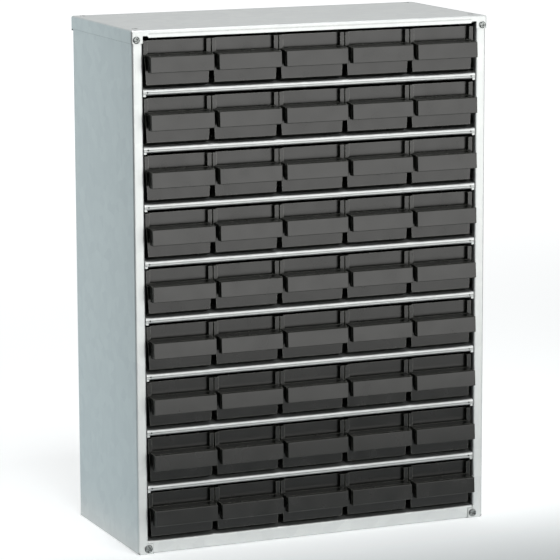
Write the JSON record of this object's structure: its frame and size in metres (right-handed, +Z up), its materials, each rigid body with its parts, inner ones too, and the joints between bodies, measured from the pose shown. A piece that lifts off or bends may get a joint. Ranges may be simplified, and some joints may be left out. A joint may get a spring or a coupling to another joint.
{
  "type": "parts bin cabinet",
  "caption": "Free-standing sheet-steel cabinet with rows of small moulded plastic drawers, each with a full-width handle and a label slot.",
  "frame": {"origin": "middle of the cabinet's overall footprint, on the ground", "axes": "+Z up, +X to the right seen from the front, +Y from the drawer handles to the back"},
  "size_m": [0.306, 0.151, 0.417],
  "materials": {
    "galvanised_sheet": "galvanised sheet steel, satin",
    "drawer_plastic": "black moulded plastic, fine matt grain",
    "fastener_steel": "zinc-plated steel, dull"
  },
  "bodies": {
    "cabinet": {"top_cover": "galvanised_sheet", "base_pan": "galvanised_sheet", "left_side_panel": "galvanised_sheet", "right_side_panel": "galvanised_sheet", "back_panel": "galvanised_sheet", "shelf_1": "galvanised_sheet", "shelf_2": "galvanised_sheet", "shelf_3": "galvanised_sheet", "shelf_4": "galvanised_sheet", "shelf_5": "galvanised_sheet", "shelf_6": "galvanised_sheet", "shelf_7": "galvanised_sheet", "shelf_8": "galvanised_sheet", "rivets": "fastener_steel", "corner_screws": "fastener_steel"},
    "bin_row1_col1": {"drawer_row1_col1": "drawer_plastic"},
    "bin_row1_col2": {"drawer_row1_col2": "drawer_plastic"},
    "bin_row1_col3": {"drawer_row1_col3": "drawer_plastic"},
    "bin_row1_col4": {"drawer_row1_col4": "drawer_plastic"},
    "bin_row1_col5": {"drawer_row1_col5": "drawer_plastic"},
    "bin_row2_col1": {"drawer_row2_col1": "drawer_plastic"},
    "bin_row2_col2": {"drawer_row2_col2": "drawer_plastic"},
    "bin_row2_col3": {"drawer_row2_col3": "drawer_plastic"},
    "bin_row2_col4": {"drawer_row2_col4": "drawer_plastic"},
    "bin_row2_col5": {"drawer_row2_col5": "drawer_plastic"},
    "bin_row3_col1": {"drawer_row3_col1": "drawer_plastic"},
    "bin_row3_col2": {"drawer_row3_col2": "drawer_plastic"},
    "bin_row3_col3": {"drawer_row3_col3": "drawer_plastic"},
    "bin_row3_col4": {"drawer_row3_col4": "drawer_plastic"},
    "bin_row3_col5": {"drawer_row3_col5": "drawer_plastic"},
    "bin_row4_col1": {"drawer_row4_col1": "drawer_plastic"},
    "bin_row4_col2": {"drawer_row4_col2": "drawer_plastic"},
    "bin_row4_col3": {"drawer_row4_col3": "drawer_plastic"},
    "bin_row4_col4": {"drawer_row4_col4": "drawer_plastic"},
    "bin_row4_col5": {"drawer_row4_col5": "drawer_plastic"},
    "bin_row5_col1": {"drawer_row5_col1": "drawer_plastic"},
    "bin_row5_col2": {"drawer_row5_col2": "drawer_plastic"},
    "bin_row5_col3": {"drawer_row5_col3": "drawer_plastic"},
    "bin_row5_col4": {"drawer_row5_col4": "drawer_plastic"},
    "bin_row5_col5": {"drawer_row5_col5": "drawer_plastic"},
    "bin_row6_col1": {"drawer_row6_col1": "drawer_plastic"},
    "bin_row6_col2": {"drawer_row6_col2": "drawer_plastic"},
    "bin_row6_col3": {"drawer_row6_col3": "drawer_plastic"},
    "bin_row6_col4": {"drawer_row6_col4": "drawer_plastic"},
    "bin_row6_col5": {"drawer_row6_col5": "drawer_plastic"},
    "bin_row7_col1": {"drawer_row7_col1": "drawer_plastic"},
    "bin_row7_col2": {"drawer_row7_col2": "drawer_plastic"},
    "bin_row7_col3": {"drawer_row7_col3": "drawer_plastic"},
    "bin_row7_col4": {"drawer_row7_col4": "drawer_plastic"},
    "bin_row7_col5": {"drawer_row7_col5": "drawer_plastic"},
    "bin_row8_col1": {"drawer_row8_col1": "drawer_plastic"},
    "bin_row8_col2": {"drawer_row8_col2": "drawer_plastic"},
    "bin_row8_col3": {"drawer_row8_col3": "drawer_plastic"},
    "bin_row8_col4": {"drawer_row8_col4": "drawer_plastic"},
    "bin_row8_col5": {"drawer_row8_col5": "drawer_plastic"},
    "bin_row9_col1": {"drawer_row9_col1": "drawer_plastic"},
    "bin_row9_col2": {"drawer_row9_col2": "drawer_plastic"},
    "bin_row9_col3": {"drawer_row9_col3": "drawer_plastic"},
    "bin_row9_col4": {"drawer_row9_col4": "drawer_plastic"},
    "bin_row9_col5": {"drawer_row9_col5": "drawer_plastic"}
  },
  "joints": [
    {"name": "slide_row1_col1", "type": "slide", "parent": "cabinet", "child": "bin_row1_col1", "axis": [0, -1, 0], "range_m": [0, 0.131]},
    {"name": "slide_row1_col2", "type": "slide", "parent": "cabinet", "child": "bin_row1_col2", "axis": [0, -1, 0], "range_m": [0, 0.131]},
    {"name": "slide_row1_col3", "type": "slide", "parent": "cabinet", "child": "bin_row1_col3", "axis": [0, -1, 0], "range_m": [0, 0.131]},
    {"name": "slide_row1_col4", "type": "slide", "parent": "cabinet", "child": "bin_row1_col4", "axis": [0, -1, 0], "range_m": [0, 0.131]},
    {"name": "slide_row1_col5", "type": "slide", "parent": "cabinet", "child": "bin_row1_col5", "axis": [0, -1, 0], "range_m": [0, 0.131]},
    {"name": "slide_row2_col1", "type": "slide", "parent": "cabinet", "child": "bin_row2_col1", "axis": [0, -1, 0], "range_m": [0, 0.131]},
    {"name": "slide_row2_col2", "type": "slide", "parent": "cabinet", "child": "bin_row2_col2", "axis": [0, -1, 0], "range_m": [0, 0.131]},
    {"name": "slide_row2_col3", "type": "slide", "parent": "cabinet", "child": "bin_row2_col3", "axis": [0, -1, 0], "range_m": [0, 0.131]},
    {"name": "slide_row2_col4", "type": "slide", "parent": "cabinet", "child": "bin_row2_col4", "axis": [0, -1, 0], "range_m": [0, 0.131]},
    {"name": "slide_row2_col5", "type": "slide", "parent": "cabinet", "child": "bin_row2_col5", "axis": [0, -1, 0], "range_m": [0, 0.131]},
    {"name": "slide_row3_col1", "type": "slide", "parent": "cabinet", "child": "bin_row3_col1", "axis": [0, -1, 0], "range_m": [0, 0.131]},
    {"name": "slide_row3_col2", "type": "slide", "parent": "cabinet", "child": "bin_row3_col2", "axis": [0, -1, 0], "range_m": [0, 0.131]},
    {"name": "slide_row3_col3", "type": "slide", "parent": "cabinet", "child": "bin_row3_col3", "axis": [0, -1, 0], "range_m": [0, 0.131]},
    {"name": "slide_row3_col4", "type": "slide", "parent": "cabinet", "child": "bin_row3_col4", "axis": [0, -1, 0], "range_m": [0, 0.131]},
    {"name": "slide_row3_col5", "type": "slide", "parent": "cabinet", "child": "bin_row3_col5", "axis": [0, -1, 0], "range_m": [0, 0.131]},
    {"name": "slide_row4_col1", "type": "slide", "parent": "cabinet", "child": "bin_row4_col1", "axis": [0, -1, 0], "range_m": [0, 0.131]},
    {"name": "slide_row4_col2", "type": "slide", "parent": "cabinet", "child": "bin_row4_col2", "axis": [0, -1, 0], "range_m": [0, 0.131]},
    {"name": "slide_row4_col3", "type": "slide", "parent": "cabinet", "child": "bin_row4_col3", "axis": [0, -1, 0], "range_m": [0, 0.131]},
    {"name": "slide_row4_col4", "type": "slide", "parent": "cabinet", "child": "bin_row4_col4", "axis": [0, -1, 0], "range_m": [0, 0.131]},
    {"name": "slide_row4_col5", "type": "slide", "parent": "cabinet", "child": "bin_row4_col5", "axis": [0, -1, 0], "range_m": [0, 0.131]},
    {"name": "slide_row5_col1", "type": "slide", "parent": "cabinet", "child": "bin_row5_col1", "axis": [0, -1, 0], "range_m": [0, 0.131]},
    {"name": "slide_row5_col2", "type": "slide", "parent": "cabinet", "child": "bin_row5_col2", "axis": [0, -1, 0], "range_m": [0, 0.131]},
    {"name": "slide_row5_col3", "type": "slide", "parent": "cabinet", "child": "bin_row5_col3", "axis": [0, -1, 0], "range_m": [0, 0.131]},
    {"name": "slide_row5_col4", "type": "slide", "parent": "cabinet", "child": "bin_row5_col4", "axis": [0, -1, 0], "range_m": [0, 0.131]},
    {"name": "slide_row5_col5", "type": "slide", "parent": "cabinet", "child": "bin_row5_col5", "axis": [0, -1, 0], "range_m": [0, 0.131]},
    {"name": "slide_row6_col1", "type": "slide", "parent": "cabinet", "child": "bin_row6_col1", "axis": [0, -1, 0], "range_m": [0, 0.131]},
    {"name": "slide_row6_col2", "type": "slide", "parent": "cabinet", "child": "bin_row6_col2", "axis": [0, -1, 0], "range_m": [0, 0.131]},
    {"name": "slide_row6_col3", "type": "slide", "parent": "cabinet", "child": "bin_row6_col3", "axis": [0, -1, 0], "range_m": [0, 0.131]},
    {"name": "slide_row6_col4", "type": "slide", "parent": "cabinet", "child": "bin_row6_col4", "axis": [0, -1, 0], "range_m": [0, 0.131]},
    {"name": "slide_row6_col5", "type": "slide", "parent": "cabinet", "child": "bin_row6_col5", "axis": [0, -1, 0], "range_m": [0, 0.131]},
    {"name": "slide_row7_col1", "type": "slide", "parent": "cabinet", "child": "bin_row7_col1", "axis": [0, -1, 0], "range_m": [0, 0.131]},
    {"name": "slide_row7_col2", "type": "slide", "parent": "cabinet", "child": "bin_row7_col2", "axis": [0, -1, 0], "range_m": [0, 0.131]},
    {"name": "slide_row7_col3", "type": "slide", "parent": "cabinet", "child": "bin_row7_col3", "axis": [0, -1, 0], "range_m": [0, 0.131]},
    {"name": "slide_row7_col4", "type": "slide", "parent": "cabinet", "child": "bin_row7_col4", "axis": [0, -1, 0], "range_m": [0, 0.131]},
    {"name": "slide_row7_col5", "type": "slide", "parent": "cabinet", "child": "bin_row7_col5", "axis": [0, -1, 0], "range_m": [0, 0.131]},
    {"name": "slide_row8_col1", "type": "slide", "parent": "cabinet", "child": "bin_row8_col1", "axis": [0, -1, 0], "range_m": [0, 0.131]},
    {"name": "slide_row8_col2", "type": "slide", "parent": "cabinet", "child": "bin_row8_col2", "axis": [0, -1, 0], "range_m": [0, 0.131]},
    {"name": "slide_row8_col3", "type": "slide", "parent": "cabinet", "child": "bin_row8_col3", "axis": [0, -1, 0], "range_m": [0, 0.131]},
    {"name": "slide_row8_col4", "type": "slide", "parent": "cabinet", "child": "bin_row8_col4", "axis": [0, -1, 0], "range_m": [0, 0.131]},
    {"name": "slide_row8_col5", "type": "slide", "parent": "cabinet", "child": "bin_row8_col5", "axis": [0, -1, 0], "range_m": [0, 0.131]},
    {"name": "slide_row9_col1", "type": "slide", "parent": "cabinet", "child": "bin_row9_col1", "axis": [0, -1, 0], "range_m": [0, 0.131]},
    {"name": "slide_row9_col2", "type": "slide", "parent": "cabinet", "child": "bin_row9_col2", "axis": [0, -1, 0], "range_m": [0, 0.131]},
    {"name": "slide_row9_col3", "type": "slide", "parent": "cabinet", "child": "bin_row9_col3", "axis": [0, -1, 0], "range_m": [0, 0.131]},
    {"name": "slide_row9_col4", "type": "slide", "parent": "cabinet", "child": "bin_row9_col4", "axis": [0, -1, 0], "range_m": [0, 0.131]},
    {"name": "slide_row9_col5", "type": "slide", "parent": "cabinet", "child": "bin_row9_col5", "axis": [0, -1, 0], "range_m": [0, 0.131]}
  ]
}
